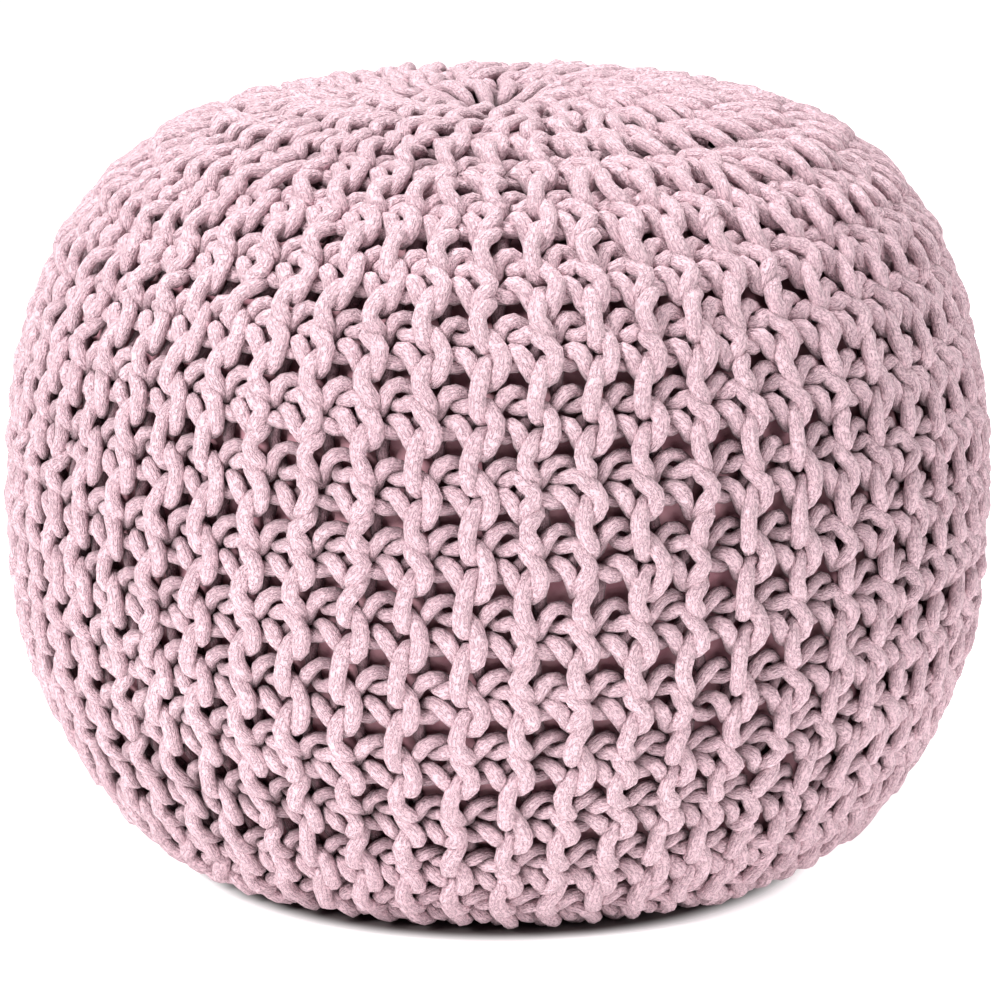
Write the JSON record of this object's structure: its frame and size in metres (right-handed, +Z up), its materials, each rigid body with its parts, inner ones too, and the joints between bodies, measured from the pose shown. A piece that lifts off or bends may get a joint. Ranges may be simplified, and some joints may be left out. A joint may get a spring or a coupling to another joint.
{
  "type": "knitted pouf",
  "caption": "Round floor pouf: a chunky garter-stitch cord cover with ribs from crown to base, drawn up over a filled inner bag, flat where it rests.",
  "frame": {"origin": "centre of the flat base, on the floor plane", "axes": "+Z up from the base through the drawn-up crown; X and Y are alike, because the pouf is round"},
  "size_m": [0.4198, 0.4198, 0.3222],
  "materials": {
    "cotton_cord": "matt braided cotton cord, blush pink",
    "inner_bag": "matt plain-woven cotton, mauve pink"
  },
  "bodies": {
    "root": {"knit_cover": "cotton_cord", "filled_casing": "inner_bag"}
  },
  "joints": []
}
